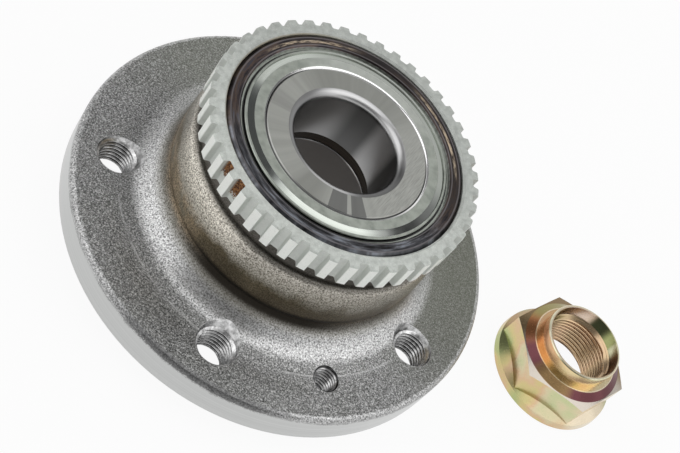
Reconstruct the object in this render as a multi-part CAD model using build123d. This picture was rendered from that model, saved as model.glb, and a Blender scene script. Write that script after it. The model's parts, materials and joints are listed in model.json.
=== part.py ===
from build123d import *

import math
import os

# Rear wheel hub bearing: a flanged hub whose barrel is the outer ring of a two-row angular contact
# ball bearing, with a toothed tone ring pressed on its inboard end, and the loose axle nut beside it.
# Millimetres. The origin is the centre of the wheel mounting face. +Z runs inboard along the axle.

# Fits between pieces
press_gap = 0.01
race_gap = 0.06
pocket_gap = 0.14
cage_gap = 0.5
cage_land_gap = 1.0
seal_gap = 0.15

# Ball rows, which set the bearing's radii
ball_radius = 4.7625
pitch_radius = 25.8
balls_per_row = 14
row_offset = 7.8
bearing_middle_height = 30.1
outer_land_offset = 2.9
outer_snap_height = 0.45

# Inner rings
inner_bore_radius = 16.0
inner_shoulder_offset = 0.96
inner_low_shoulder_offset = 3.4
inner_ring_width = 21.05
lead_in_width = 2.2
lead_in_depth = 2.5
inner_edge_chamfer = 0.3

# Recess at the seam of the inner rings, and the ring that clips them together
recess_depth = 1.3
recess_half_width = 1.72
recess_edge_chamfer = 0.3
clip_thickness = 0.75
clip_half_width = 1.5

# Cages
cage_back_width = 1.6
cage_finger_reach = 2.6

# Seals
seal_sheet = 0.6
bead_thickness = 0.43
lip_thickness = 0.9
flinger_disc_width = 6.56
flinger_stand_out = 0.1
flinger_length = 4.6
flinger_bend = 0.9
flinger_rim_bevel = 0.2
flinger_rim_width = 0.85
flinger_band_width = 1.9
flinger_band_drop = 0.35
flinger_band_step = 0.1
case_set_back = 1.2
case_flange_width = 4.2
outboard_seal_set_back = 0.25
seal_seat_step = 0.3

# Wheel pilot, with the dust cap's bore inside it
cap_bore_step = 0.6
pilot_wall = 1.54
pilot_length = 8.0
pilot_chamfer = 1.2
relief_width = 3.0
relief_depth = 0.5
mouth_chamfer = 0.5

# Wheel flange and the holes in it
bolt_circle_radius = 54.0
bolt_count = 5
bolt_hole_radius = 6.0
bolt_mouth_flare = 0.35
bolt_mouth_depth = 0.6
bolt_head_flare = 2.2
bolt_back_flare = 0.5
bolt_first_angle = -151.2
locator_angle = -43.2
locator_hole_radius = 4.0
locator_mouth_flare = 0.2
locator_head_flare = 3.4
flange_margin = 13.0
flange_thickness = 11.6
rim_bevel_height = 1.5
rim_round = 1.7
back_chamfer = 0.8

# Barrel, and the cast slope from the flange face up to it
barrel_end_wall = 4.3
barrel_end_stand_out = 0.35
barrel_end_chamfer = 1.0
neck_step = 2.0
neck_length = 4.7
shoulder_step = 2.2
shoulder_round = 2.0
crown_swell = 0.7
crown_drop = 5.7
crease_step = 0.6
barrel_length = 15.2
slope_width = 8.3
slope_foot_width = 7.0
slope_knee_rise = 0.9

# Tone ring
tooth_count = 44
first_tooth_angle = -87.8
tone_wall = 3.05
tooth_depth = 1.95
tone_stand_out = 0.4
tone_height = 9.0
tip_share = 0.4
gap_root_share = 0.43
gap_root_round = 0.5
tone_edge_chamfer = 0.35
tone_bore_chamfer = 0.65

# Axle nut, lying beside the hub on its washer flange
nut_x = 96.7
nut_y = 42.6
nut_turn = 9.0
nut_across_flats = 36.0
nut_flange_margin = 0.4
nut_flange_edge = 2.9
nut_flange_lean = 0.3
nut_flange_rise = 1.7
nut_foot_chamfer = 0.4
nut_corner_height = 12.3
nut_crown_rise = 0.9
nut_crown_inset = 0.4
nut_shoulder_rise = 1.8
nut_shoulder_width = 1.6
nut_hole_radius = 12.0
nut_counterbore_step = 0.45
nut_collar_wall = 0.95
nut_collar_length = 5.4
nut_counterbore_depth = 4.6
nut_edge_round = 0.3
nut_lead_in = 0.9

race_radius = ball_radius + race_gap
outer_land_radius = pitch_radius + outer_land_offset
outer_mouth_radius = pitch_radius + ball_radius - outer_snap_height
inner_shoulder_radius = pitch_radius - inner_shoulder_offset
inner_low_shoulder_radius = pitch_radius - inner_low_shoulder_offset
lead_in_radius = inner_bore_radius + lead_in_width
recess_radius = inner_bore_radius + recess_depth

cage_inner_radius = inner_shoulder_radius + cage_gap
cage_outer_radius = outer_land_radius - cage_land_gap
cage_back_reach = ball_radius + pocket_gap + cage_back_width

flinger_radius = inner_shoulder_radius + flinger_disc_width
bead_radius = flinger_radius + seal_gap
seal_bore_radius = bead_radius + bead_thickness + seal_sheet + 2 * press_gap
inboard_case_hole_radius = seal_bore_radius - case_flange_width
seal_seat_radius = outer_mouth_radius + seal_seat_step
outboard_case_hole_radius = seal_seat_radius - case_flange_width
cap_bore_radius = seal_seat_radius + cap_bore_step
pilot_radius = cap_bore_radius + pilot_wall

tone_bore_radius = seal_bore_radius + barrel_end_wall
tone_root_radius = tone_bore_radius + tone_wall
tone_tip_radius = tone_root_radius + tooth_depth
neck_radius = tone_bore_radius + neck_step
shoulder_radius = neck_radius + shoulder_step
crown_radius = shoulder_radius + crown_swell
crease_radius = crown_radius - crease_step
slope_knee_radius = crease_radius + slope_width
slope_foot_radius = slope_knee_radius + slope_foot_width
flange_radius = bolt_circle_radius + flange_margin

inboard_row_height = bearing_middle_height + row_offset
outboard_row_height = bearing_middle_height - row_offset
inner_ring_end = bearing_middle_height + inner_ring_width
outboard_ring_end = bearing_middle_height - inner_ring_width
barrel_end_height = inner_ring_end + barrel_end_stand_out
tone_top_height = barrel_end_height + tone_stand_out
tone_bottom_height = tone_top_height - tone_height
shoulder_height = tone_bottom_height - neck_length - shoulder_round
crown_height = shoulder_height - crown_drop
crease_height = shoulder_height - barrel_length
inboard_seal_floor = inboard_row_height + cage_back_reach + cage_gap
inboard_case_end = barrel_end_height - case_set_back
outboard_seal_floor = outboard_row_height - cage_back_reach - cage_gap
outboard_seal_face = outboard_ring_end + outboard_seal_set_back
floor_height = -pilot_length


def flat(*points):
    """Straight runs through (radius, height) points of a half section."""
    return Polyline(*[(radius, 0, height) for radius, height in points])


def arc(*points):
    """A round stretch of a half section through three (radius, height) points."""
    return ThreePointArc(*[(radius, 0, height) for radius, height in points])


def swept_round(start, end, tangent):
    """A round stretch that leaves its start along a (radius, height) direction."""
    return TangentArc((start[0], 0, start[1]), (end[0], 0, end[1]), tangent=(tangent[0], 0, tangent[1]))


def turned(*runs):
    """The solid turned about the axle from the runs of a closed half section."""
    edges = [edge for run in runs for edge in run.edges()]
    return Solid(revolve(Face(Wire(edges)), Axis.Z).solid().wrapped)


def turned_outline(*points):
    """The solid turned about the axle from a straight-sided half section."""
    return turned(flat(*points, points[0]))


def on_circle(radius, angle, height=0.0):
    turn = math.radians(angle)
    return Location((radius * math.cos(turn), radius * math.sin(turn), height))


def race_reach(radius):
    """How far from its row's middle a race surface stands at this radius."""
    return math.sqrt(race_radius**2 - (radius - pitch_radius) ** 2)


def bolt_hole(radius, flare, flare_depth, head_flare, back_flare):
    """A through hole in the flange, whose upper mouth's cone goes on up and cuts the slope beside it."""
    cone_end = flange_thickness + (head_flare - flare) * flare_depth / flare
    beyond = flange_thickness + 2 * (radius + head_flare)
    return turned_outline(
        (0, -back_flare),
        (radius + 2 * back_flare, -back_flare),
        (radius, back_flare),
        (radius, flange_thickness - flare_depth),
        (radius + flare, flange_thickness),
        (radius + head_flare, cone_end),
        (radius + head_flare, beyond),
        (0, beyond),
    )


def hub_flange():
    """Wheel flange, pilot and barrel in one forging, with both outer races ground inside."""
    relief_radius = pilot_radius + relief_width
    knee = (slope_knee_radius, flange_thickness + slope_knee_rise)
    knee_turn = 2 * math.atan2(slope_knee_rise, slope_foot_radius - slope_knee_radius)
    round_middle = math.sqrt(0.5)
    seat_radius = tone_bore_radius - press_gap
    rim_band_height = flange_thickness - rim_bevel_height
    body = turned(
        flat(
            (cap_bore_radius, floor_height + mouth_chamfer),
            (cap_bore_radius + mouth_chamfer, floor_height),
            (pilot_radius - mouth_chamfer, floor_height),
            (pilot_radius, floor_height + pilot_chamfer),
            (pilot_radius, relief_depth),
            (relief_radius, relief_depth),
            (relief_radius + relief_depth, 0),
            (flange_radius - back_chamfer, 0),
            (flange_radius, back_chamfer),
            (flange_radius, rim_band_height),
        ),
        arc(
            (flange_radius, rim_band_height),
            (
                flange_radius - rim_round * (1 - round_middle),
                rim_band_height + rim_bevel_height * round_middle,
            ),
            (flange_radius - rim_round, flange_thickness),
        ),
        flat((flange_radius - rim_round, flange_thickness), (slope_foot_radius, flange_thickness)),
        swept_round((slope_foot_radius, flange_thickness), knee, (-1, 0)),
        swept_round(knee, (crease_radius, crease_height), (-math.cos(knee_turn), math.sin(knee_turn))),
        arc(
            (crease_radius, crease_height),
            (crown_radius, crown_height),
            (shoulder_radius, shoulder_height),
        ),
        swept_round(
            (shoulder_radius, shoulder_height),
            (neck_radius, shoulder_height + shoulder_round),
            (0, 1),
        ),
        flat(
            (neck_radius, shoulder_height + shoulder_round),
            (neck_radius, tone_bottom_height),
            (seat_radius, tone_bottom_height),
            (seat_radius, barrel_end_height - barrel_end_chamfer),
            (seat_radius - barrel_end_chamfer, barrel_end_height),
            (seal_bore_radius + mouth_chamfer, barrel_end_height),
            (seal_bore_radius, barrel_end_height - mouth_chamfer),
            (seal_bore_radius, inboard_seal_floor),
            (outer_mouth_radius, inboard_seal_floor),
            (outer_mouth_radius, inboard_row_height + race_reach(outer_mouth_radius)),
        ),
        arc(
            (outer_mouth_radius, inboard_row_height + race_reach(outer_mouth_radius)),
            (pitch_radius + race_radius, inboard_row_height),
            (outer_land_radius, inboard_row_height - race_reach(outer_land_radius)),
        ),
        flat(
            (outer_land_radius, inboard_row_height - race_reach(outer_land_radius)),
            (outer_land_radius, outboard_row_height + race_reach(outer_land_radius)),
        ),
        arc(
            (outer_land_radius, outboard_row_height + race_reach(outer_land_radius)),
            (pitch_radius + race_radius, outboard_row_height),
            (outer_mouth_radius, outboard_row_height - race_reach(outer_mouth_radius)),
        ),
        flat(
            (outer_mouth_radius, outboard_row_height - race_reach(outer_mouth_radius)),
            (outer_mouth_radius, outboard_seal_floor),
            (seal_seat_radius, outboard_seal_floor),
            (seal_seat_radius, 0),
            (cap_bore_radius, 0),
            (cap_bore_radius, floor_height + mouth_chamfer),
        ),
    )
    wheel_hole = bolt_hole(
        bolt_hole_radius, bolt_mouth_flare, bolt_mouth_depth, bolt_head_flare, bolt_back_flare
    )
    locator_hole = bolt_hole(
        locator_hole_radius,
        locator_mouth_flare,
        locator_mouth_flare,
        locator_head_flare,
        locator_mouth_flare,
    )
    for index in range(bolt_count):
        angle = bolt_first_angle + index * 360 / bolt_count
        body -= on_circle(bolt_circle_radius, angle) * wheel_hole
    return body - on_circle(bolt_circle_radius, locator_angle) * locator_hole


def tone_ring():
    """Toothed ring with open trapezoid gaps, pressed on the barrel's inboard end."""
    tip_gap = (1 - tip_share) * 2 * math.pi * tone_tip_radius / tooth_count
    root_gap = gap_root_share * 2 * math.pi * tone_root_radius / tooth_count
    flank_lean = (tip_gap - root_gap) / 2 / tooth_depth
    beyond = 2 * tooth_depth
    outer_half = tip_gap / 2 + flank_lean * (beyond - tooth_depth)
    gap = Polyline(
        (tone_root_radius, -root_gap / 2),
        (tone_root_radius + beyond, -outer_half),
        (tone_root_radius + beyond, outer_half),
        (tone_root_radius, root_gap / 2),
        close=True,
    )
    gap_face = make_face(gap)
    gap_face = fillet(gap_face.vertices().sort_by(Axis.X)[:2], gap_root_round)
    outline = Circle(tone_tip_radius) - Circle(tone_bore_radius)
    pitch = 360 / tooth_count
    gaps = [Rot(0, 0, first_tooth_angle + (index + 0.5) * pitch) * gap_face for index in range(tooth_count)]
    toothed = Pos(0, 0, tone_bottom_height) * extrude(outline - gaps, tone_height)
    blank = turned_outline(
        (tone_bore_radius, tone_bottom_height),
        (tone_tip_radius - tone_edge_chamfer, tone_bottom_height),
        (tone_tip_radius, tone_bottom_height + tone_edge_chamfer),
        (tone_tip_radius, tone_top_height - tone_edge_chamfer),
        (tone_tip_radius - tone_edge_chamfer, tone_top_height),
        (tone_bore_radius + tone_bore_chamfer, tone_top_height),
        (tone_bore_radius, tone_top_height - tone_bore_chamfer),
    )
    return toothed & blank


def inner_ring():
    """The inboard inner ring, from the seam up to its polished lead-in."""
    seam = bearing_middle_height
    recess_wall = seam + recess_half_width
    lead_in_middle = math.sqrt(0.5)
    return turned(
        flat(
            (inner_bore_radius, inner_ring_end - lead_in_depth),
            (inner_bore_radius, recess_wall + recess_edge_chamfer),
            (inner_bore_radius + recess_edge_chamfer, recess_wall),
            (recess_radius, recess_wall),
            (recess_radius, seam),
            (inner_low_shoulder_radius - inner_edge_chamfer, seam),
            (inner_low_shoulder_radius, seam + inner_edge_chamfer),
            (inner_low_shoulder_radius, inboard_row_height - race_reach(inner_low_shoulder_radius)),
        ),
        arc(
            (inner_low_shoulder_radius, inboard_row_height - race_reach(inner_low_shoulder_radius)),
            (pitch_radius - race_radius, inboard_row_height),
            (inner_shoulder_radius, inboard_row_height + race_reach(inner_shoulder_radius)),
        ),
        flat(
            (inner_shoulder_radius, inboard_row_height + race_reach(inner_shoulder_radius)),
            (inner_shoulder_radius, inner_ring_end - inner_edge_chamfer),
            (inner_shoulder_radius - inner_edge_chamfer, inner_ring_end),
            (lead_in_radius, inner_ring_end),
        ),
        arc(
            (lead_in_radius, inner_ring_end),
            (
                lead_in_radius - lead_in_width * lead_in_middle,
                inner_ring_end - lead_in_depth * (1 - lead_in_middle),
            ),
            (inner_bore_radius, inner_ring_end - lead_in_depth),
        ),
    )


def mirrored_outboard(shape):
    """The same piece turned end for end about the seam between the inner rings."""
    return mirror(shape, Plane.XY.offset(bearing_middle_height))


def inner_ring_clip():
    """Thin ring in the recess at the seam that holds the two inner rings together."""
    outer = recess_radius - press_gap
    return turned_outline(
        (outer - clip_thickness, bearing_middle_height - clip_half_width),
        (outer, bearing_middle_height - clip_half_width),
        (outer, bearing_middle_height + clip_half_width),
        (outer - clip_thickness, bearing_middle_height + clip_half_width),
    )


def ball_places(row_height):
    return [
        on_circle(pitch_radius, index * 360 / balls_per_row, row_height) for index in range(balls_per_row)
    ]


def cage():
    """Snap cage of the inboard row: a back ring with fingers between the balls."""
    pocket = Sphere(ball_radius + pocket_gap)
    back = inboard_row_height + cage_back_reach
    body = turned_outline(
        (cage_inner_radius, inboard_row_height - cage_finger_reach),
        (cage_outer_radius, inboard_row_height - cage_finger_reach),
        (cage_outer_radius, back),
        (cage_inner_radius, back),
    )
    for place in ball_places(inboard_row_height):
        body -= place * pocket
    return body


def inboard_flinger():
    """Pressed steel disc that covers the seal from the inner ring's shoulder out, sloped near its rim."""
    top = inner_ring_end + flinger_stand_out
    under = top - seal_sheet
    sleeve_in = inner_shoulder_radius + press_gap
    sleeve_out = sleeve_in + seal_sheet
    band_end = flinger_radius - flinger_rim_width
    corner = math.sqrt(0.5)
    return turned(
        flat(
            (sleeve_in, top - flinger_bend),
            (sleeve_in, top - flinger_length),
            (sleeve_out, top - flinger_length),
            (sleeve_out, under),
            (flinger_radius, under),
            (flinger_radius, top - flinger_rim_bevel),
            (flinger_radius - flinger_rim_bevel, top),
            (band_end + flinger_band_step, top),
            (band_end, top - flinger_band_drop),
            (band_end - flinger_band_width, top),
            (sleeve_in + flinger_bend, top),
        ),
        arc(
            (sleeve_in + flinger_bend, top),
            (sleeve_in + flinger_bend * (1 - corner), top - flinger_bend * (1 - corner)),
            (sleeve_in, top - flinger_bend),
        ),
    )


def inboard_seal_case():
    """Steel case of the inboard seal, pressed in the barrel's bore against its floor."""
    outer = seal_bore_radius - press_gap
    return turned_outline(
        (inboard_case_hole_radius, inboard_seal_floor),
        (outer, inboard_seal_floor),
        (outer, inboard_case_end),
        (outer - seal_sheet, inboard_case_end),
        (outer - seal_sheet, inboard_seal_floor + seal_sheet),
        (inboard_case_hole_radius, inboard_seal_floor + seal_sheet),
    )


def inboard_seal_lip():
    """Rubber of the inboard seal: a bead round the case, one lip up to the flinger, one in to its sleeve."""
    base = inboard_seal_floor + seal_sheet
    outer = seal_bore_radius - seal_sheet - 2 * press_gap
    under_disc = inner_ring_end + flinger_stand_out - seal_sheet - seal_gap
    sleeve = inner_shoulder_radius + press_gap + seal_sheet + seal_gap
    hole = inboard_case_hole_radius - press_gap
    web = base + lip_thickness
    disc_lip = bead_radius - 2 * lip_thickness
    return turned_outline(
        (hole, base),
        (outer, base),
        (outer, inboard_case_end),
        (bead_radius, inboard_case_end),
        (bead_radius, web),
        (disc_lip, web),
        (disc_lip + lip_thickness, under_disc - lip_thickness / 2),
        (disc_lip + lip_thickness / 2, under_disc),
        (disc_lip - lip_thickness, web),
        (hole - lip_thickness, web),
        (sleeve, web + 2 * lip_thickness),
        (sleeve, web + lip_thickness),
        (hole - lip_thickness, inboard_seal_floor),
        (hole, inboard_seal_floor),
    )


def outboard_seal_case():
    """Steel case of the outboard seal, pressed in against the step beside the outboard race."""
    outer = seal_seat_radius - press_gap
    return turned_outline(
        (outboard_case_hole_radius, outboard_seal_face),
        (outer, outboard_seal_face),
        (outer, outboard_seal_floor),
        (outer - seal_sheet, outboard_seal_floor),
        (outer - seal_sheet, outboard_seal_face + seal_sheet),
        (outboard_case_hole_radius, outboard_seal_face + seal_sheet),
    )


def outboard_seal_lip():
    """Rubber of the outboard seal: a main lip and a dust lip on the inner ring's shoulder."""
    base = outboard_seal_face + seal_sheet
    outer = seal_seat_radius - seal_sheet - 2 * press_gap
    shoulder = inner_shoulder_radius + seal_gap
    hole = outboard_case_hole_radius - press_gap
    web = base + lip_thickness
    return turned_outline(
        (hole, base),
        (outer, base),
        (outer, web),
        (hole + lip_thickness, web),
        (shoulder, web + 2 * lip_thickness),
        (shoulder, web + lip_thickness),
        (hole - lip_thickness, base),
        (shoulder, outboard_seal_face + lip_thickness / 2),
        (shoulder, outboard_seal_face),
        (hole, outboard_seal_face),
    )


def axle_nut():
    """Hexagon nut with a washer flange and a thin collar for staking."""
    flat_radius = nut_across_flats / 2
    corner_radius = flat_radius / math.cos(math.pi / 6)
    rim_radius = corner_radius + nut_flange_margin
    foot_radius = rim_radius + nut_flange_lean
    crown_radius = flat_radius - nut_crown_inset
    crown_height = nut_corner_height + nut_crown_rise
    shoulder_height = crown_height + nut_shoulder_rise
    counterbore_radius = nut_hole_radius + nut_counterbore_step
    collar_radius = counterbore_radius + nut_collar_wall
    shoulder_radius = collar_radius + nut_shoulder_width
    height = shoulder_height + nut_collar_length
    counterbore_floor = height - nut_counterbore_depth
    turned_parts = turned_outline(
        (0, 0),
        (foot_radius - nut_foot_chamfer, 0),
        (foot_radius, nut_foot_chamfer),
        (rim_radius, nut_flange_edge),
        (flat_radius, nut_flange_edge + nut_flange_rise),
        (crown_radius, crown_height),
        (shoulder_radius, shoulder_height),
        (collar_radius, shoulder_height),
        (collar_radius, height - nut_edge_round),
        (collar_radius - nut_edge_round, height),
        (0, height),
    )
    crown = turned_outline(
        (0, 0),
        (corner_radius, 0),
        (corner_radius, nut_corner_height),
        (crown_radius, crown_height),
        (0, crown_height),
    )
    hexagon = extrude(RegularPolygon(corner_radius, 6), crown_height)
    hole = turned_outline(
        (0, 0),
        (nut_hole_radius + nut_lead_in, 0),
        (nut_hole_radius, nut_lead_in),
        (nut_hole_radius, counterbore_floor - nut_counterbore_step),
        (counterbore_radius, counterbore_floor),
        (counterbore_radius, height),
        (0, height),
    )
    nut = turned_parts + Rot(0, 0, nut_turn) * (hexagon & crown) - hole
    return Pos(nut_x, nut_y, floor_height) * nut


inboard_ring = inner_ring()
inboard_cage = cage()
pieces = {
    "hub_flange": hub_flange(),
    "tone_ring": tone_ring(),
    "inner_ring_inboard": inboard_ring,
    "inner_ring_outboard": mirrored_outboard(inboard_ring),
    "inner_ring_clip": inner_ring_clip(),
    "cage_inboard": inboard_cage,
    "cage_outboard": mirrored_outboard(inboard_cage),
    "inboard_flinger": inboard_flinger(),
    "inboard_seal_case": inboard_seal_case(),
    "inboard_seal_lip": inboard_seal_lip(),
    "outboard_seal_case": outboard_seal_case(),
    "outboard_seal_lip": outboard_seal_lip(),
    "axle_nut": axle_nut(),
}
for side, row_height in (("inboard", inboard_row_height), ("outboard", outboard_row_height)):
    for number, place in enumerate(ball_places(row_height), start=1):
        pieces[f"ball_{side}_{number:02d}"] = place * Sphere(ball_radius)

os.makedirs("parts", exist_ok=True)
for name, piece in pieces.items():
    export_step(piece, f"parts/{name}.step")
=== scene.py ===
import json
import math

import bmesh
import bpy
from mathutils import Matrix, Vector


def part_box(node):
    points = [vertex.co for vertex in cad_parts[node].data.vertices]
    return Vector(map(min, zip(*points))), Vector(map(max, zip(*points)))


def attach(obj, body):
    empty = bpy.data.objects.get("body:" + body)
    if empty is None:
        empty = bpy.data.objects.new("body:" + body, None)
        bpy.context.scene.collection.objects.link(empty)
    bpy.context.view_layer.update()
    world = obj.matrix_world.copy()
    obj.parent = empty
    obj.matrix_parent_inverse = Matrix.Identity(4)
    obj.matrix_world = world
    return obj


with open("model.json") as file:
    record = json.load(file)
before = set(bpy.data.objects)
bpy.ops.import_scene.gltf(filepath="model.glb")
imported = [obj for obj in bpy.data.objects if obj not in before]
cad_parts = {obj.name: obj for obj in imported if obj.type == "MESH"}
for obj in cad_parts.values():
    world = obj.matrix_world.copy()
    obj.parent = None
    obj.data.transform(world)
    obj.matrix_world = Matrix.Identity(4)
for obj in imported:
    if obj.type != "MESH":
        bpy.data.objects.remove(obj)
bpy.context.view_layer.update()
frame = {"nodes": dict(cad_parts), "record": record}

# Metres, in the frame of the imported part: +Z runs inboard along the axle, and the wheel side is down.
# Sizes that a material or a thread is made with are in millimetres, and MM turns them into metres.
MM = 0.001

# Camera, as fitted to the photograph's circles: pixels, millimetres of sensor, metres and radians
PHOTO_WIDTH = 680
FOCAL_PIXELS = 1426.98
SENSOR_WIDTH = 36.0
CAMERA_PLACE = Vector((0.013897, -0.283447, 0.329635))
CAMERA_FALL = 0.825
CAMERA_ROLL = 0.725

# Holes in the flange: directions round the axle in degrees
BOLT_FIRST_ANGLE = -151.2
LOCATOR_ANGLE = -43.2

# Outline of all threads: one turn as (share of the pitch, share of the depth)
THREAD_FORM = (
    (0.0, 0.0), (0.125, 0.0), (0.28, 0.5), (0.4375, 1.0), (0.6875, 1.0), (0.84, 0.5), (1.0, 0.0),
)
THREAD_DEPTH_SHARE = 0.5413
THREAD_SEGMENTS = 96
THREAD_SKIN = 0.03
THREAD_SPARE_TURNS = 2
THREAD_SHARP_EDGE = math.radians(30)

# Each thread's pitch, the heights between which it runs, from the wheel face or the nut's foot, and how fast
# the cones at its mouths widen, which cut the ridge's ends away
BOLT_THREAD = {"pitch": 1.5, "bottom": 0.5, "top": 11.0, "low_flare": 2.0, "high_flare": 1.6}
LOCATOR_THREAD = {"pitch": 1.25, "bottom": 0.2, "top": 11.4, "low_flare": 2.0, "high_flare": 2.5}
NUT_THREAD = {"pitch": 1.5, "bottom": 0.9, "top": 15.35, "low_flare": 1.0, "high_flare": 1.0}

# Mouths of the flange's holes: how fast a bolt hole's mouth widens with height, the locating hole's chamfer,
# and the lip that closes the cone above that chamfer: how far it goes into the skin round it, and how far
# below the skin the thread's own mouth lies
BOLT_MOUTH_SPREAD = 0.583
LOCATOR_CHAMFER = 0.2
LIP_OVERLAP = 0.12
LIP_DROP = 0.05

# Heights below which the locating hole's lip and the flange's holes end
LIP_TOP = 14.0
HOLES_TOP = 15.2

# Rusted gaps between the tone ring's teeth: direction in degrees, and how far above its foot the rust starts
RUST_SPOTS = ((-108.25, 2.5), (-116.4, 3.7))

# Studio: metres from the hub down to the floor, how white the floor shows itself, and how bright the ceiling
# is and how much brighter the walls are
FLOOR_DROP = 0.0002
FLOOR_WHITE = 0.93
CEILING_LIGHT = 0.2
WALL_LIGHT = 0.78

mounts = {mount["name"]: mount for mount in frame["record"]["mounts"]}
hub_low, hub_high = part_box("hub_flange")
ring_low, ring_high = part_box("inner_ring_inboard")
nut_low, nut_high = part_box("axle_nut")
nut_centre = (nut_low + nut_high) / 2
nut_foot = Vector((nut_centre.x, nut_centre.y, nut_low.z))

# Radii and heights that the materials are placed by, in millimetres
flange_radius = hub_high.x / MM
barrel_top = hub_high.z / MM
tone_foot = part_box("tone_ring")[0].z / MM
flinger_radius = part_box("inboard_flinger")[1].x / MM
flinger_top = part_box("inboard_flinger")[1].z / MM
bore_radius = mounts["stub_axle_bore"]["dims"]["r_mm"]
bearing_top, bearing_seam = ring_high.z / MM, ring_low.z / MM
nut_height = (nut_high.z - nut_low.z) / MM


def srgb(red, green, blue):
    """A colour given in 0 to 255 display values, as the linear colour that a shader takes."""
    linear = [
        value / 255 / 12.92 if value <= 10 else ((value / 255 + 0.055) / 1.055) ** 2.4
        for value in (red, green, blue)
    ]
    return (*linear, 1.0)


def grey(level):
    return srgb(level, level, level)


class Nodes:
    """A node tree in the making, with short names for the nodes that it needs."""

    def __init__(self, tree):
        self.tree = tree
        self.tree.nodes.clear()

    def node(self, kind, **settings):
        made = self.tree.nodes.new(kind)
        for name, value in settings.items():
            setattr(made, name, value)
        return made

    def link(self, output, socket):
        self.tree.links.new(output, socket)

    def put(self, socket, value):
        """Link or set a socket, whichever the value calls for."""
        if isinstance(value, bpy.types.NodeSocket):
            self.link(value, socket)
        else:
            socket.default_value = value

    def vector(self, operation, first, second=None, scale=None, output="Vector"):
        made = self.node("ShaderNodeVectorMath", operation=operation)
        self.put(made.inputs[0], first)
        if second is not None:
            self.put(made.inputs[1], second)
        if scale is not None:
            self.put(made.inputs["Scale"], scale)
        return made.outputs[output]

    def split(self, vector):
        made = self.node("ShaderNodeSeparateXYZ")
        self.link(vector, made.inputs[0])
        return made.outputs

    def join(self, x, y, z):
        made = self.node("ShaderNodeCombineXYZ")
        for socket, value in zip(made.inputs, (x, y, z)):
            self.put(socket, value)
        return made.outputs[0]

    def math(self, operation, first, second=0.0):
        made = self.node("ShaderNodeMath", operation=operation)
        self.put(made.inputs[0], first)
        self.put(made.inputs[1], second)
        return made.outputs[0]

    def chain(self, operation, *values):
        result = values[0]
        for value in values[1:]:
            result = self.math(operation, result, value)
        return result

    def times(self, *values):
        return self.chain("MULTIPLY", *values)

    def plus(self, *values):
        return self.chain("ADD", *values)

    def most(self, *values):
        return self.chain("MAXIMUM", *values)

    def rest(self, value):
        """1 minus the value."""
        return self.math("SUBTRACT", 1.0, value)

    def rise(self, value, low, high):
        """0 below low, 1 above high and smooth between."""
        made = self.node("ShaderNodeMapRange", interpolation_type="SMOOTHSTEP")
        self.put(made.inputs["Value"], value)
        self.put(made.inputs["From Min"], low)
        self.put(made.inputs["From Max"], high)
        return made.outputs["Result"]

    def fall(self, value, low, high):
        """1 below low, 0 above high and smooth between."""
        return self.rest(self.rise(value, low, high))

    def band(self, value, low, high, soft):
        """1 between low and high, fading to 0 over soft on each side."""
        return self.times(self.rise(value, low - soft, low), self.fall(value, high, high + soft))

    def grade(self, value, low, high, start, end):
        """A value from low to high turned into start to end, in a straight line that stops at both."""
        made = self.node("ShaderNodeMapRange")
        self.put(made.inputs["Value"], value)
        for name, number in (("From Min", low), ("From Max", high), ("To Min", start), ("To Max", end)):
            self.put(made.inputs[name], number)
        return made.outputs["Result"]

    def mix(self, share, first, second, blend="MIX"):
        made = self.node("ShaderNodeMix", data_type="RGBA", blend_type=blend)
        self.put(made.inputs["Factor"], share)
        self.put(made.inputs["A"], first)
        self.put(made.inputs["B"], second)
        return made.outputs["Result"]

    def over(self, colour, tint, *shares):
        """The colour with a tint over it, as strong as the product of the shares."""
        return self.mix(self.times(*shares), colour, tint)

    def scaled(self, colour, level):
        """The colour made brighter or darker."""
        return self.mix(1.0, colour, self.join(level, level, level), "MULTIPLY")

    def ramp(self, value, *stops):
        """A colour for each value, from (value, colour) stops."""
        made = self.node("ShaderNodeValToRGB")
        scale = made.color_ramp
        while len(scale.elements) < len(stops):
            scale.elements.new(0.5)
        for element, (position, colour) in zip(scale.elements, stops):
            element.position = position
            element.color = colour
        self.put(made.inputs["Fac"], value)
        return made.outputs["Color"]


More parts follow.
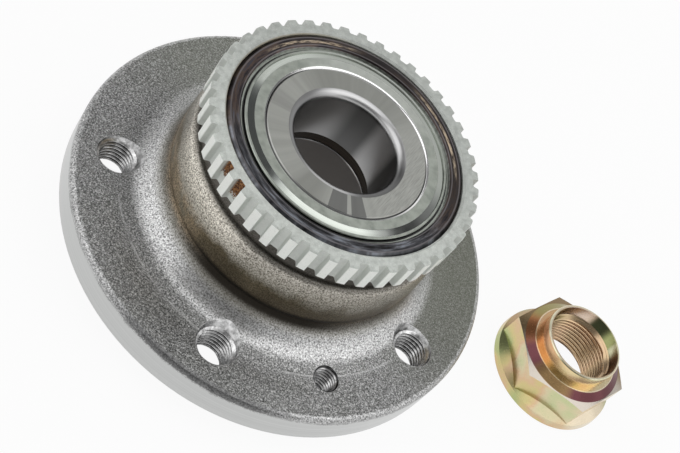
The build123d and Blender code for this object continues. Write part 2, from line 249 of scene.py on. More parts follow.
class Paint(Nodes):
    """A material in the making. Its sizes are millimetres from the middle that it is given."""

    def __init__(self, name, middle=(0, 0, 0)):
        self.material = bpy.data.materials.new(name)
        self.material.use_nodes = True
        super().__init__(self.material.node_tree)
        self.shader = self.node("ShaderNodeBsdfPrincipled")
        output = self.node("ShaderNodeOutputMaterial")
        self.link(self.shader.outputs["BSDF"], output.inputs["Surface"])
        coordinates = self.node("ShaderNodeTexCoord")
        moved = self.vector("SUBTRACT", coordinates.outputs["Object"], middle)
        self.place = self.vector("SCALE", moved, scale=1 / MM)
        self.height = self.split(self.place)["Z"]
        self.outward = self.vector("MULTIPLY", self.place, (1, 1, 0))
        self.radius = self.vector("LENGTH", self.outward, output="Value")
        self.around = self.vector("NORMALIZE", self.outward)
        self.up = self.split(coordinates.outputs["Normal"])["Z"]

    def noise(self, scale, detail=3.0, roughness=0.55, place=None):
        """Fractal noise about 0.5, with features about 1/scale of a millimetre across."""
        made = self.node("ShaderNodeTexNoise")
        self.put(made.inputs["Vector"], self.place if place is None else place)
        made.inputs["Scale"].default_value = scale
        made.inputs["Detail"].default_value = detail
        made.inputs["Roughness"].default_value = roughness
        return made.outputs["Fac"]

    def lathe_lines(self, fine):
        """Noise that runs round the axle, with about fine lines to the millimetre."""
        return self.noise(1.0, 2.0, 0.5, self.drawn_round(0.6, fine))

    def drawn_round(self, round_count, across_count):
        """A place for noise that is drawn out round the axle."""
        along = self.vector("SCALE", self.around, scale=round_count)
        across = self.times(self.plus(self.radius, self.height), across_count)
        return self.vector("ADD", along, self.join(0.0, 0.0, across))

    def towards(self, angle, full, gone):
        """1 within full degrees of a direction round the axle, fading to 0 at gone degrees from it."""
        turn = math.radians(angle)
        facing = self.vector("DOT_PRODUCT", self.around, (math.cos(turn), math.sin(turn), 0), output="Value")
        return self.rise(facing, math.cos(math.radians(gone)), math.cos(math.radians(full)))

    def tinted_round(self, colour, tints, *shares):
        """The colour with tints over it, each one (direction, degrees full, degrees gone, tint)."""
        for angle, full, gone, tint in tints:
            colour = self.over(colour, tint, self.towards(angle, full, gone), *shares)
        return colour

    def bump(self, height, depth, normal=None, strength=1.0):
        """A bump of this depth in millimetres."""
        made = self.node("ShaderNodeBump")
        made.inputs["Distance"].default_value = depth * MM
        self.put(made.inputs["Strength"], strength)
        self.link(height, made.inputs["Height"])
        if normal is not None:
            self.link(normal, made.inputs["Normal"])
        return made.outputs["Normal"]

    def finish(self, colour, roughness, metallic, normal=None):
        self.put(self.shader.inputs["Base Color"], colour)
        self.put(self.shader.inputs["Roughness"], roughness)
        self.put(self.shader.inputs["Metallic"], metallic)
        if normal is not None:
            self.link(normal, self.shader.inputs["Normal"])
        return self.material


def hole_places(first_angle, count):
    """Centres of evenly spaced holes on the bolt circle, in millimetres, at the wheel face."""
    circle = mounts["wheel_bolts"]["dims"]["pcd_mm"] / 2
    turns = [math.radians(first_angle + index * 360 / count) for index in range(count)]
    return [Vector((circle * math.cos(turn), circle * math.sin(turn), 0.0)) for turn in turns]


bolt_places = hole_places(BOLT_FIRST_ANGLE, mounts["wheel_bolts"]["dims"]["count"])
bolt_radius = mounts["wheel_bolts"]["dims"]["hole_r_mm"]
locator_place = hole_places(LOCATOR_ANGLE, 1)[0]
locator_radius = mounts["locating_screw"]["dims"]["r_mm"]
nut_radius = mounts["nut_thread"]["dims"]["r_mm"]


def hole_masks(paint):
    """1 on the machined walls and mouths of the flange's holes, and 1 at the bottom of their threads, where
    painted shade goes.
    """
    walls, thread_root_shade = 0.0, 0.0
    bolt_hole = (bolt_radius, BOLT_THREAD["pitch"], BOLT_THREAD["top"], BOLT_MOUTH_SPREAD)
    locator_hole = (locator_radius, LOCATOR_THREAD["pitch"], LIP_TOP, 0.0)
    holes = [(place, *bolt_hole) for place in bolt_places] + [(locator_place, *locator_hole)]
    for place, radius, pitch, mouth_start, spread in holes:
        away = paint.vector("DISTANCE", paint.outward, place, output="Value")
        mouth = paint.times(paint.most(paint.plus(paint.height, -mouth_start), 0.0), spread)
        beyond = paint.math("SUBTRACT", away, paint.plus(mouth, radius))
        walls = paint.most(walls, paint.fall(beyond, THREAD_SKIN, 2 * THREAD_SKIN))
        hole_root_shade = paint.times(
            paint.rise(beyond, -0.48 * pitch, -0.24 * pitch),
            paint.fall(beyond, 0.0, THREAD_SKIN),
            paint.fall(paint.height, mouth_start - 1.0, mouth_start - 0.5),
        )
        thread_root_shade = paint.most(thread_root_shade, hole_root_shade)
    return paint.times(walls, paint.fall(paint.height, HOLES_TOP, HOLES_TOP + 0.2)), thread_root_shade


def blasted_skin(paint, grain, blotch):
    """The forging's skin, with a painted highlight on the slope up to the barrel and on the rim's bevel, and
    painted shade on both at the front.
    """
    radius, height = paint.radius, paint.height
    skin = paint.ramp(grain, (0.34, grey(62)), (0.45, grey(118)), (0.55, grey(146)), (0.66, grey(204)))
    far = paint.times(paint.towards(90.0, 60.0, 100.0), 0.4)
    skin = paint.over(skin, srgb(126, 130, 116), paint.plus(far, paint.grade(blotch, 0.3, 0.7, 0.0, 0.1)))
    skin = paint.over(skin, srgb(96, 98, 86), paint.towards(25.0, 20.0, 50.0), 0.5)
    # A pale thin line on the flange face near the bolt circle, at the front
    pale_ring_line = paint.times(paint.band(radius, 53.2, 53.5, 0.25), paint.towards(-77.0, 55.0, 62.0))
    skin = paint.over(skin, grey(215), pale_ring_line, paint.rise(blotch, 0.4, 0.5), 0.35)

    # Painted highlight on the slope, weaker at the back, with a patch of painted shade at the front, and a
    # painted highlight on the rim's bevel, with painted shade at its front
    highlit_skin = paint.ramp(grain, (0.34, grey(104)), (0.5, grey(196)), (0.64, grey(240)))
    slope = paint.times(
        paint.band(radius, 43.5, 47.5, 3.2),
        paint.rise(height, 11.7, 12.6),
        paint.grade(paint.towards(-76.0, 72.0, 104.0), 0.0, 1.0, 0.35, 1.0),
    )
    skin = paint.over(skin, highlit_skin, slope, 0.85)
    slope_shade = paint.times(paint.towards(-87.0, 6.0, 24.0), paint.band(radius, 43.0, 46.5, 2.5))
    skin = paint.over(skin, srgb(84, 83, 80), slope_shade, slope, 0.55)
    bevel = paint.rise(radius, flange_radius - 1.8, flange_radius - 1.4)
    bevel = paint.times(bevel, paint.rise(height, 9.8, 10.0))
    skin = paint.over(skin, highlit_skin, bevel, 0.5)
    return paint.over(skin, grey(72), bevel, paint.towards(-80.0, 12.0, 30.0), 0.75)


def heat_tint_and_shade(paint, skin, grain, blotch):
    """The skin with heat tint on the barrel, a painted highlight on the barrel's left, and painted shade on
    its lower front, in the crease and in the neck under the tone ring.
    """
    radius, height = paint.radius, paint.height
    crown = paint.ramp(
        grain, (0.34, srgb(92, 88, 80)), (0.48, srgb(174, 169, 159)), (0.62, srgb(226, 221, 211))
    )
    # Painted highlight on the barrel, strongest towards the left
    crown = paint.scaled(crown, paint.grade(paint.towards(-120.0, 12.0, 34.0), 0.0, 1.0, 0.82, 1.42))

    # The lower part of the barrel is browner, up to a ragged line, and darker at the front: heat tint with
    # painted shade over it
    front = paint.towards(-60.0, 30.0, 62.0)
    low_tint_and_shade = paint.ramp(
        blotch, (0.4, srgb(138, 122, 96)), (0.5, srgb(190, 168, 138)), (0.6, srgb(150, 140, 120))
    )
    low_tint_and_shade = paint.over(low_tint_and_shade, srgb(98, 87, 70), front)
    low_tint_and_shade = paint.scaled(low_tint_and_shade, paint.grade(grain, 0.36, 0.64, 0.3, 1.7))
    edge = paint.plus(height, paint.grade(blotch, 0.3, 0.7, -2.5, 2.5), paint.times(front, -1.0))
    crown = paint.over(crown, low_tint_and_shade, paint.fall(edge, 26.0, 31.0))
    skin = paint.over(skin, crown, paint.fall(radius, 42.0, 43.4), paint.rise(height, 17.0, 22.0))

    # Olive foot of the barrel, then the dark crease over it, part tint and part painted shade and darkest at
    # the front, and painted shade in the neck under the tone ring
    olive = paint.times(paint.band(radius, 42.4, 43.6, 1.6), paint.rise(height, 15.0, 18.0))
    skin = paint.over(skin, srgb(112, 106, 82), olive, 0.4)
    crease = paint.times(
        paint.rise(height, 16.6, 19.4), paint.fall(height, 21.2, 23.6), paint.fall(radius, 43.2, 45.0)
    )
    crease_shade = paint.grade(paint.towards(-75.0, 20.0, 46.0), 0.0, 1.0, 0.3, 0.98)
    skin = paint.over(skin, srgb(34, 30, 24), crease, crease_shade)
    neck = paint.band(height, tone_foot - 4.5, tone_foot + 0.5, 1.8)
    return paint.over(skin, srgb(76, 73, 68), neck, paint.fall(radius, 41.3, 42.2), 0.88)


def ground_end(paint):
    """The barrel's inboard end, brown from grinding: a mask, and a colour with worn ridges, pale streaky
    patches and a painted sheen at the front.
    """
    radius = paint.radius
    mask = paint.rise(paint.height, barrel_top - 5.5, barrel_top - 4.5)
    mask = paint.times(mask, paint.rise(radius, 32.55, 32.65))
    stain = paint.noise(1.0, 4.0, 0.65, paint.drawn_round(3.0, 0.7))
    colour = paint.ramp(
        stain,
        (0.36, srgb(36, 35, 38)),
        (0.47, srgb(66, 60, 62)),
        (0.55, srgb(92, 78, 70)),
        (0.64, srgb(74, 72, 78)),
    )
    # Painted sheen with bluish highlights at the front
    painted_sheen = paint.ramp(stain, (0.4, grey(40)), (0.53, srgb(88, 92, 98)), (0.64, srgb(160, 166, 176)))
    colour = paint.over(colour, painted_sheen, paint.towards(-70.0, 50.0, 80.0), 0.75)
    colour = paint.over(colour, srgb(40, 37, 35), paint.towards(68.0, 46.0, 76.0), 0.6)
    # Pale streaky patches in two places round the middle of the face
    patches = paint.most(paint.towards(57.0, 14.0, 30.0), paint.towards(144.0, 14.0, 30.0))
    streaked = paint.rise(paint.noise(1.0, 3.0, 0.6, paint.drawn_round(14.0, 2.4)), 0.34, 0.66)
    colour = paint.over(colour, srgb(206, 188, 164), patches, paint.band(radius, 34.0, 34.5, 0.35), streaked)
    ridges = paint.most(paint.band(radius, 33.1, 33.25, 0.15), paint.band(radius, 35.5, 35.7, 0.2))
    return mask, paint.over(colour, srgb(140, 136, 138), ridges, 0.5)


def forged_hub():
    """Blasted forging with a turned rim, wheel side and inside, threaded holes and a ground end."""
    paint = Paint("forged_hub_metal")
    radius, height = paint.radius, paint.height
    grain = paint.noise(2.3, 3.0, 0.6)
    pits = paint.noise(0.9, 2.0, 0.5)
    blotch = paint.noise(0.09, 4.0, 0.6)
    lines = paint.lathe_lines(3.0)
    # Skin colour, with painted highlight and shade on the slope, the rim's bevel and the barrel
    skin = heat_tint_and_shade(paint, blasted_skin(paint, grain, blotch), grain, blotch)

    # The forging's skin ends on the rim in a ragged edge
    ragged = paint.plus(
        height, paint.grade(grain, 0.35, 0.65, -0.7, 0.9), paint.grade(blotch, 0.3, 0.7, -0.2, 1.0)
    )
    rim = paint.times(
        paint.rise(radius, flange_radius - 0.8, flange_radius - 0.5), paint.fall(ragged, 10.0, 10.4)
    )
    holes, thread_root_shade = hole_masks(paint)
    machined = paint.most(rim, paint.fall(height, 0.6, 0.9), holes, paint.fall(radius, 32.6, 32.7))
    turned = paint.ramp(lines, (0.3, srgb(188, 189, 188)), (0.7, srgb(198, 199, 198)))
    colour = paint.over(skin, turned, machined)
    drilled = paint.ramp(paint.noise(0.6, 4.0, 0.7), (0.34, grey(138)), (0.5, grey(194)), (0.64, grey(234)))
    colour = paint.over(colour, drilled, holes)
    # Painted shade at the bottom of the holes' threads
    colour = paint.over(colour, grey(24), thread_root_shade, 0.94)
    # The barrel's ground end, with its painted sheen at the front
    end, browned_with_sheen = ground_end(paint)
    colour = paint.over(colour, browned_with_sheen, end)

    smooth = paint.most(machined, end)
    rough = paint.grade(smooth, 0.0, 1.0, 0.38, 0.28)
    metal = paint.grade(smooth, 0.0, 1.0, 0.85, 0.95)
    blasted = paint.rest(smooth)
    bump = paint.bump(pits, 0.06, strength=blasted)
    bump = paint.bump(grain, 0.07, bump, blasted)
    bump = paint.bump(lines, 0.002, bump, paint.times(machined, paint.rest(holes)))
    return paint.finish(colour, rough, metal, bump)


def rust_mask(paint):
    """1 on the rust in two gaps between the tone ring's teeth."""
    mask = 0.0
    ragged = paint.grade(paint.noise(0.9, 5.0, 0.8), 0.3, 0.7, -2.0, 2.0)
    for angle, above_foot in RUST_SPOTS:
        lowest = tone_foot + above_foot
        gap = paint.times(paint.towards(angle, 1.7, 2.3), paint.band(paint.radius, 39.75, 40.7, 0.1))
        risen = paint.rise(paint.plus(paint.height, ragged), lowest, lowest + 0.6)
        mask = paint.most(mask, paint.times(gap, risen))
    return paint.times(mask, paint.fall(paint.up, 0.3, 0.6))


def zinc_ring():
    """Zinc on the tone ring, with a painted highlight on the sides and tips of its teeth, painted light that
    is stronger at the front, and rust in two gaps.
    """
    paint = Paint("zinc_ring_metal")
    mottle = paint.noise(0.5, 4.0, 0.6)
    grain = paint.noise(3.0, 3.0, 0.6)
    colour = paint.ramp(
        mottle, (0.32, srgb(164, 168, 163)), (0.5, srgb(180, 184, 179)), (0.68, srgb(192, 196, 191))
    )
    # Painted highlight on the sides of the teeth, strongest on their tips
    side = paint.times(paint.fall(paint.up, 0.3, 0.6), paint.rise(paint.radius, 39.5, 39.7))
    colour = paint.over(colour, srgb(206, 209, 204), side, 0.7)
    colour = paint.over(colour, srgb(238, 240, 235), side, paint.rise(paint.radius, 41.6, 41.8), 0.8)
    colour = paint.over(colour, srgb(234, 237, 232), paint.rise(grain, 0.62, 0.68), 0.4)
    colour = paint.over(colour, srgb(140, 145, 140), paint.fall(grain, 0.33, 0.38), 0.25)
    # Painted light: brighter towards the front and darker at the back
    colour = paint.scaled(colour, paint.grade(paint.towards(-80.0, 60.0, 120.0), 0.0, 1.0, 0.9, 1.1))
    inner_edge = paint.times(paint.band(paint.radius, 36.9, 37.1, 0.15), paint.towards(-170.0, 40.0, 80.0))
    colour = paint.over(colour, srgb(132, 120, 92), inner_edge, 0.6)
    rust = paint.ramp(
        paint.noise(1.6, 3.0, 0.7),
        (0.38, srgb(40, 24, 12)),
        (0.5, srgb(104, 62, 28)),
        (0.62, srgb(158, 112, 66)),
    )
    rusted = rust_mask(paint)
    colour = paint.over(colour, rust, rusted)
    rough = paint.plus(paint.grade(mottle, 0.3, 0.7, 0.44, 0.54), paint.times(rusted, 0.3))
    metal = paint.times(paint.rest(rusted), 0.4)
    return paint.finish(colour, rough, metal, paint.bump(grain, 0.02, strength=0.7))


def bearing_steel():
    """Steel of the inner rings: a ground inboard face, brushed on one side, and polished elsewhere."""
    paint = Paint("bearing_steel_metal")
    lines = paint.lathe_lines(5.0)
    strokes = paint.noise(1.0, 3.0, 0.6, paint.vector("MULTIPLY", paint.place, (4.0, 0.25, 1.0)))
    radial = paint.noise(9.0, 2.0, 0.5, paint.around)

    # The inboard face, with painted shade in places round it, the darkest of which are also a little rougher
    face = paint.rise(paint.height, bearing_top - 0.3, bearing_top - 0.1)
    face = paint.times(face, paint.rise(paint.radius, bore_radius + 2.2, bore_radius + 2.4))
    ground = paint.ramp(
        radial, (0.35, srgb(163, 164, 159)), (0.5, srgb(169, 170, 165)), (0.65, srgb(174, 175, 170))
    )
    brushed = paint.ramp(
        strokes, (0.35, srgb(154, 155, 150)), (0.5, srgb(168, 169, 164)), (0.65, srgb(180, 181, 176))
    )
    ground = paint.over(ground, brushed, paint.towards(10.0, 25.0, 60.0))
    shaded = paint.most(paint.towards(115.0, 25.0, 60.0), paint.towards(-88.0, 6.0, 16.0))
    ground = paint.over(ground, srgb(126, 127, 122), shaded, 0.5)
    dull_and_shaded = paint.most(
        paint.towards(-65.0, 6.5, 7.2),
        paint.towards(-49.5, 5.0, 5.8),
        paint.times(paint.towards(-167.0, 6.0, 8.5), 0.3),
    )
    ground = paint.over(ground, grey(90), dull_and_shaded, 0.75)

    polished = paint.ramp(lines, (0.3, grey(176)), (0.7, grey(190)))
    # Painted shade on two sides of the polished faces
    polished = paint.over(polished, grey(80), paint.towards(-15.0, 25.0, 50.0), 0.85)
    polished = paint.over(polished, grey(108), paint.towards(-155.0, 36.0, 72.0), 0.8)

    # The bore, with two gleams above the seam of the rings and evenly darker below it
    gleam = paint.most(paint.towards(60.0, 8.0, 24.0), paint.times(paint.towards(142.0, 16.0, 40.0), 0.7))
    inboard = paint.rise(paint.height, bearing_seam - 0.5, bearing_seam)
    inside = paint.over(grey(150), grey(255), gleam, inboard)
    inside = paint.over(srgb(108, 104, 101), inside, inboard)
    polished = paint.over(polished, inside, paint.fall(paint.radius, bore_radius + 0.1, bore_radius + 0.3))

    rough = paint.plus(paint.grade(face, 0.0, 1.0, 0.3, 0.34), paint.times(dull_and_shaded, face, 0.08))
    bump = paint.bump(lines, 0.003, strength=0.6)
    bump = paint.bump(strokes, 0.005, bump, paint.times(face, 0.6))
    return paint.finish(paint.over(polished, ground, face), rough, 1.0, bump)


def seal_steel():
    """Pressed steel of the flinger and the seal cases, with a polished band on the flinger's disc."""
    paint = Paint("seal_steel_metal")
    mottle = paint.noise(0.35, 4.0, 0.6)
    lines = paint.lathe_lines(2.0)
    colour = paint.ramp(
        mottle, (0.34, srgb(146, 152, 144)), (0.5, srgb(160, 165, 157)), (0.66, srgb(170, 175, 167))
    )
    disc = paint.rise(paint.height, flinger_top - 0.6, flinger_top - 0.4)
    # Painted reflection: the disc paler towards its far side
    colour = paint.over(colour, srgb(200, 203, 198), disc, paint.towards(105.0, 20.0, 60.0), 0.5)
    polished = paint.ramp(lines, (0.3, srgb(178, 183, 176)), (0.7, srgb(196, 201, 194)))
    # The polished band, with painted shade in three places round it
    polished = paint.tinted_round(
        polished,
        (
            (75.0, 50.0, 80.0, srgb(158, 162, 156)),
            (-14.0, 12.0, 38.0, srgb(108, 110, 108)),
            (-132.0, 20.0, 44.0, srgb(132, 136, 133)),
        ),
    )
    sloped = paint.times(paint.band(paint.radius, flinger_radius - 2.8, flinger_radius - 0.9, 0.1), disc)
    colour = paint.over(colour, polished, sloped)
    # Painted highlight on the far side of the disc's inner bend, and painted shade on the rest of it
    bend = paint.times(paint.fall(paint.radius, 25.5, 25.7), disc)
    colour = paint.over(colour, paint.over(grey(104), grey(236), paint.towards(72.0, 72.0, 112.0)), bend)
    shine = paint.plus(paint.times(sloped, 0.26), paint.times(bend, 0.22))
    rough = paint.math("SUBTRACT", paint.grade(mottle, 0.3, 0.7, 0.32, 0.42), shine)
    return paint.finish(colour, rough, 0.95, paint.bump(lines, 0.008, strength=0.6))


def seal_rubber():
    paint = Paint("seal_rubber_black")
    grain = paint.noise(3.0, 3.0)
    colour = paint.ramp(grain, (0.3, grey(18)), (0.7, srgb(34, 33, 32)))
    return paint.finish(colour, paint.grade(grain, 0.3, 0.7, 0.5, 0.7), 0.0, paint.bump(grain, 0.02))


def clip_steel():
    paint = Paint("clip_steel_metal")
    lines = paint.lathe_lines(4.0)
    colour = paint.ramp(lines, (0.3, srgb(40, 36, 32)), (0.7, srgb(74, 66, 58)))
    return paint.finish(colour, 0.35, 0.9, paint.bump(lines, 0.006))


def ball_steel():
    paint = Paint("ball_steel_metal")
    haze = paint.noise(1.5, 2.0)
    colour = paint.ramp(haze, (0.3, grey(190)), (0.7, grey(205)))
    return paint.finish(colour, paint.grade(haze, 0.3, 0.7, 0.05, 0.12), 1.0)


def cage_plastic():
    paint = Paint("cage_plastic_moulded")
    grain = paint.noise(2.5, 3.0)
    colour = paint.ramp(grain, (0.3, srgb(196, 186, 160)), (0.7, srgb(212, 203, 178)))
    return paint.finish(colour, paint.grade(grain, 0.3, 0.7, 0.4, 0.55), 0.0, paint.bump(grain, 0.02))


def yellow_zinc():
    """Zinc under a chromate film, whose tint drifts with the film's thickness."""
    paint = Paint("yellow_zinc_metal", nut_foot)
    height, radius = paint.height, paint.radius
    drift = paint.noise(0.07, 2.0, 0.5)
    grain = paint.noise(2.0, 3.0, 0.6)
    film = paint.plus(drift, paint.grade(grain, 0.3, 0.7, -0.02, 0.02))
    colour = paint.ramp(
        film,
        (0.34, srgb(184, 190, 134)),
        (0.43, srgb(212, 196, 140)),
        (0.5, srgb(218, 186, 150)),
        (0.57, srgb(216, 204, 168)),
        (0.66, srgb(200, 204, 158)),
    )
    # Painted shade: darker the more a face points up
    colour = paint.scaled(colour, paint.grade(paint.up, 0.0, 1.0, 1.0, 0.62))

    # Cone between the hexagon and the collar, whose tint changes round the nut
    cone = paint.times(paint.band(height, 13.15, 14.95, 0.12), paint.rise(radius, 14.6, 14.9))
    tint = paint.tinted_round(
        srgb(100, 62, 66),
        (
            (-92.0, 10.0, 30.0, srgb(150, 122, 84)),
            (-178.0, 14.0, 40.0, srgb(166, 112, 76)),
            (150.0, 14.0, 36.0, srgb(150, 140, 92)),
            (96.0, 18.0, 40.0, srgb(206, 196, 166)),
        ),
    )
    colour = paint.over(colour, tint, cone)

    # Collar, and the hexagon's chamfered corners and right side
    collar = paint.times(paint.band(height, 15.1, 19.9, 0.3), paint.rise(radius, 13.0, 13.2))
    colour = paint.over(colour, srgb(250, 228, 184), collar, 0.6)
    colour = paint.over(colour, srgb(226, 166, 124), collar, paint.towards(-165.0, 25.0, 85.0), 0.7)
    corners = paint.times(paint.rise(paint.up, 0.4, 0.7), paint.band(height, 12.0, 13.25, 0.1))
    pale = paint.over(srgb(136, 116, 88), srgb(180, 172, 162), paint.towards(-70.0, 70.0, 95.0))
    colour = paint.over(colour, pale, corners, paint.rise(radius, 17.6, 17.8))
    right = paint.times(paint.towards(-22.0, 12.0, 34.0), paint.fall(height, 12.0, 12.2))
    colour = paint.over(colour, srgb(236, 218, 198), right, 0.7)
    # Painted highlight on the top face and on the edge between the cone and the collar
    edges = paint.most(
        paint.rise(height, nut_height - 0.35, nut_height - 0.1),
        paint.times(paint.band(height, 14.85, 15.1, 0.05), paint.band(radius, 14.8, 15.0, 0.1)),
    )
    colour = paint.over(colour, srgb(238, 230, 206), edges, 0.7)

    # Inside, with reflections round the recess above the thread
    inside = paint.fall(radius, 12.6, 12.8)
    colour = paint.over(colour, srgb(196, 168, 138), inside, 0.8)
    recess = paint.times(inside, paint.rise(radius, 12.1, 12.3), paint.rise(height, 15.7, 15.9))
    colour = paint.tinted_round(
        colour,
        (
            (56.0, 6.0, 24.0, srgb(172, 178, 122)),
            (80.0, 6.0, 22.0, srgb(58, 62, 42)),
            (122.0, 14.0, 32.0, srgb(232, 212, 194)),
            (36.0, 2.0, 12.0, srgb(226, 226, 190)),
            (6.0, 8.0, 32.0, srgb(92, 66, 50)),
        ),
        recess,
    )
    rough = paint.grade(grain, 0.3, 0.7, 0.2, 0.28)
    return paint.finish(colour, rough, 1.0, paint.bump(grain, 0.015, strength=0.6))


finishes = {
    "forged_hub": forged_hub(),
    "zinc_ring": zinc_ring(),
    "bearing_steel": bearing_steel(),
    "clip_steel": clip_steel(),
    "cage_plastic": cage_plastic(),
    "ball_steel": ball_steel(),
    "seal_steel": seal_steel(),
    "seal_rubber": seal_rubber(),
    "yellow_zinc": yellow_zinc(),
}
for part in frame["record"]["subparts"]:
    skins = frame["nodes"][part["node"]].data.materials
    skins.clear()
    skins.append(finishes[part["material_slot"]])


def locator_lip(out):
    """How the locating hole is closed up to the skin round it, on the side that out points to.

    The skin's height is taken beside the hole, at the same distance from the axle, since it is the same all
    round. Gives its height at the hole's wall, and the radius and height at which the lip meets it.
    """
    hub = frame["nodes"]["hub_flange"]
    to_hub = hub.matrix_world.inverted()
    beside = math.radians(LOCATOR_ANGLE + 18)

    def skin(reach):
        distance = (locator_place + out * reach).length
        start = Vector((math.cos(beside) * distance, math.sin(beside) * distance, 20.0)) * MM
        hit = hub.ray_cast(to_hub @ start, to_hub.to_3x3() @ Vector((0, 0, -1)))[1]
        return (hub.matrix_world @ hit).z / MM + THREAD_SKIN / 2

    # The hole's cone has a slope of 45 degrees, so a few steps find the radius where it meets the skin
    reach = locator_radius
    for step in range(4):
        reach = locator_radius + max(skin(reach) - LOCATOR_THREAD["top"], LOCATOR_CHAMFER)
    reach += LIP_OVERLAP
    return skin(locator_radius), reach, skin(reach)


def ridge(share):
    """How much of its depth a thread's outline has at this share of the pitch."""
    for (start, low), (end, high) in zip(THREAD_FORM, THREAD_FORM[1:]):
        if share <= end:
            return low + (high - low) * (share - start) / (end - start)


def thread(name, middle, radius, body, slot, pitch, bottom, top, low_flare, high_flare, lip=None):
    """A closed ring inside a hole's wall, with one helical ridge that winds up the hole.

    Sizes are in millimetres, and heights are from the middle. A lip gives, for each way out from the hole's
    axis, where the ring goes on above its top, up to the skin round the hole.
    """
    depth = pitch * THREAD_DEPTH_SHARE
    wall = radius - THREAD_SKIN
    shares = [point[0] for point in THREAD_FORM[:-1]]
    turns = range(-THREAD_SPARE_TURNS, math.ceil((top - bottom) / pitch) + THREAD_SPARE_TURNS)
    rows = [bottom + (turn + share) * pitch for turn in turns for share in shares]
    made = bmesh.new()

    def corner(out, reach, height):
        return made.verts.new((middle + out * reach + Vector((0, 0, height))) * MM)

    columns, backs = [], []
    for step in range(THREAD_SEGMENTS):
        turned = step / THREAD_SEGMENTS
        out = Vector((math.cos(2 * math.pi * turned), math.sin(2 * math.pi * turned), 0))
        back = [(radius + THREAD_SKIN, bottom), (radius + THREAD_SKIN, top)]
        end, mouth = top, top
        if lip:
            end, lip_reach, lip_height = lip(out)
            mouth = end - LIP_DROP
            back.append((lip_reach, lip_height))
        column = []
        for row in rows:
            height = min(max(row + pitch * turned, bottom), end)
            reach = wall - depth * ridge((height / pitch - turned) % 1.0)
            low_cone = radius - (height - bottom) * low_flare
            high_cone = radius + (height - mouth) * high_flare
            column.append(corner(out, min(max(reach, low_cone, high_cone), wall), height))
        columns.append(column)
        backs.append([corner(out, reach, height) for reach, height in back])

    last = len(rows) - 1
    for step in range(THREAD_SEGMENTS):
        following = (step + 1) % THREAD_SEGMENTS
        here, there = columns[step], columns[following]
        back, next_back = backs[step], backs[following]
        # After a full turn the ridge has climbed one pitch, so the last column joins the first a turn higher
        shift = 0 if following else len(shares)
        for row in range(last):
            low, high = min(row + shift, last), min(row + 1 + shift, last)
            corners = [here[row], here[row + 1], there[high], there[low]]
            if len(set(corners)) > 2:
                made.faces.new(list(dict.fromkeys(corners)))
        made.faces.new((here[0], there[0], next_back[0], back[0]))
        made.faces.new((here[last], back[-1], next_back[-1], there[last]))
        for row in range(len(back) - 1):
            made.faces.new((back[row], next_back[row], next_back[row + 1], back[row + 1]))
    bmesh.ops.remove_doubles(made, verts=made.verts, dist=1e-7)
    bmesh.ops.dissolve_degenerate(made, dist=1e-7, edges=made.edges)
    bmesh.ops.recalc_face_normals(made, faces=made.faces)
    for face in made.faces:
        face.smooth = True
    for edge in made.edges:
        edge.smooth = edge.calc_face_angle(math.pi) < THREAD_SHARP_EDGE
    mesh = bpy.data.meshes.new(name)
    made.to_mesh(mesh)
    made.free()
    mesh.materials.append(finishes[slot])
    piece = bpy.data.objects.new(name, mesh)
    bpy.context.scene.collection.objects.link(piece)
    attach(piece, body)


for number, place in enumerate(bolt_places, start=1):
    thread(f"bolt_thread_{number}", place, bolt_radius, "hub", "forged_hub", **BOLT_THREAD)
thread(
    "locator_thread", locator_place, locator_radius, "hub", "forged_hub", **LOCATOR_THREAD, lip=locator_lip
)
thread("nut_thread", nut_foot / MM, nut_radius, "axle_side", "yellow_zinc", **NUT_THREAD)


def studio_floor():
    """A plain white floor. It shows itself white to the camera and to metal, and takes a faint shadow."""
    bpy.ops.mesh.primitive_plane_add(size=6.0, location=(0, 0, hub_low.z - FLOOR_DROP))
    floor = bpy.context.object
    floor.name = "studio_floor"
    material = bpy.data.materials.new("studio_floor_white")
    material.use_nodes = True
    nodes = Nodes(material.node_tree)
    matt = nodes.node("ShaderNodeBsdfDiffuse")
    matt.inputs["Color"].default_value = (0.7, 0.7, 0.7, 1)
    glow = nodes.node("ShaderNodeEmission")
    rays = nodes.node("ShaderNodeLightPath").outputs
    seen = nodes.most(rays["Is Camera Ray"], rays["Is Glossy Ray"], rays["Is Transmission Ray"])

    # Seen down the bore the floor lies in the hub's own shade, so it shows itself less white there
    place = nodes.node("ShaderNodeNewGeometry").outputs["Position"]
    from_axle = nodes.vector("LENGTH", place, output="Value")
    open_floor = nodes.grade(nodes.rise(from_axle, 0.03, 0.036), 0.0, 1.0, 0.35, 1.0)
    white = nodes.times(seen, open_floor, FLOOR_WHITE)
    mixed = nodes.node("ShaderNodeMixShader")
    nodes.link(white, mixed.inputs["Fac"])
    nodes.link(matt.outputs[0], mixed.inputs[1])
    nodes.link(glow.outputs[0], mixed.inputs[2])
    nodes.link(mixed.outputs[0], nodes.node("ShaderNodeOutputMaterial").inputs["Surface"])
    floor.data.materials.append(material)


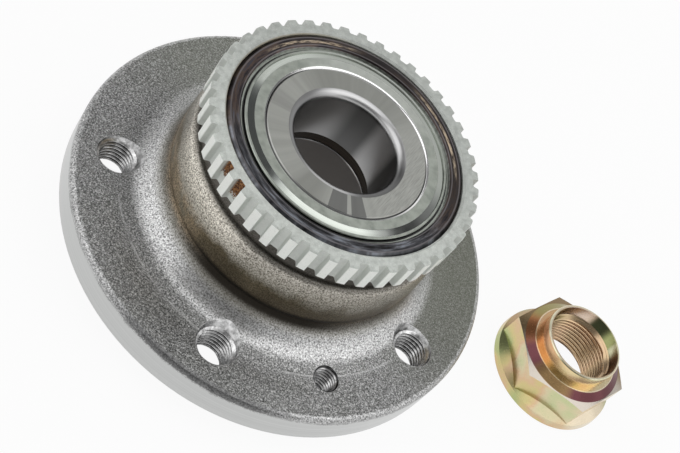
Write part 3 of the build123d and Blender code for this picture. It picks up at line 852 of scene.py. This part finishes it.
def studio_world():
    """Soft boxes and pale walls round the object, with a dim ceiling between them."""
    world = bpy.data.worlds.new("studio_world")
    bpy.context.scene.world = world
    world.use_nodes = True
    nodes = Nodes(world.node_tree)
    parts = nodes.split(nodes.node("ShaderNodeTexCoord").outputs["Generated"])
    above = nodes.most(parts["Z"], 0.02)
    across, along = nodes.math("DIVIDE", parts["X"], above), nodes.math("DIVIDE", parts["Y"], above)
    rear = nodes.times(nodes.rise(parts["Y"], 0.6, 0.68), nodes.fall(parts["Z"], 0.64, 0.75))
    walls = nodes.most(nodes.fall(parts["Z"], 0.3, 0.5), rear)
    light = nodes.plus(CEILING_LIGHT, nodes.times(walls, WALL_LIGHT))
    # Each soft box: its sides as x/z and y/z of the way to it, how soft its edge is, and its brightness
    for west, east, south, north, soft, strength in (
        (-0.12, 1.05, -0.42, 0.68, 0.04, 1.5),
        (-2.3, -0.5, -1.15, 0.12, 0.25, 1.4),
        (1.2, 2.6, -0.4, 1.2, 0.3, 0.9),
    ):
        box = nodes.times(nodes.band(across, west, east, soft), nodes.band(along, south, north, soft))
        light = nodes.plus(light, nodes.times(box, strength))
    background = nodes.node("ShaderNodeBackground")
    nodes.link(nodes.join(light, light, light), background.inputs["Color"])
    nodes.link(background.outputs[0], nodes.node("ShaderNodeOutputWorld").inputs["Surface"])


def photo_camera():
    """The photograph's camera: it looks along +Y and down, and is turned about the way it looks."""
    data = bpy.data.cameras.new("photo_camera")
    data.sensor_width = SENSOR_WIDTH
    data.lens = SENSOR_WIDTH * FOCAL_PIXELS / PHOTO_WIDTH
    data.clip_start, data.clip_end = 0.01, 20.0
    forward = Vector((0, math.cos(CAMERA_FALL), -math.sin(CAMERA_FALL)))
    level = Vector((1, 0, 0))
    upright = level.cross(forward)
    right = level * math.cos(CAMERA_ROLL) + upright * math.sin(CAMERA_ROLL)
    up = upright * math.cos(CAMERA_ROLL) - level * math.sin(CAMERA_ROLL)
    made = bpy.data.objects.new("photo_camera", data)
    bpy.context.scene.collection.objects.link(made)
    turn = Matrix((right, up, -forward)).transposed()
    made.matrix_world = Matrix.Translation(CAMERA_PLACE) @ turn.to_4x4()
    bpy.context.scene.camera = made


studio_floor()
studio_world()
photo_camera()
bpy.context.scene.view_settings.view_transform = "Standard"
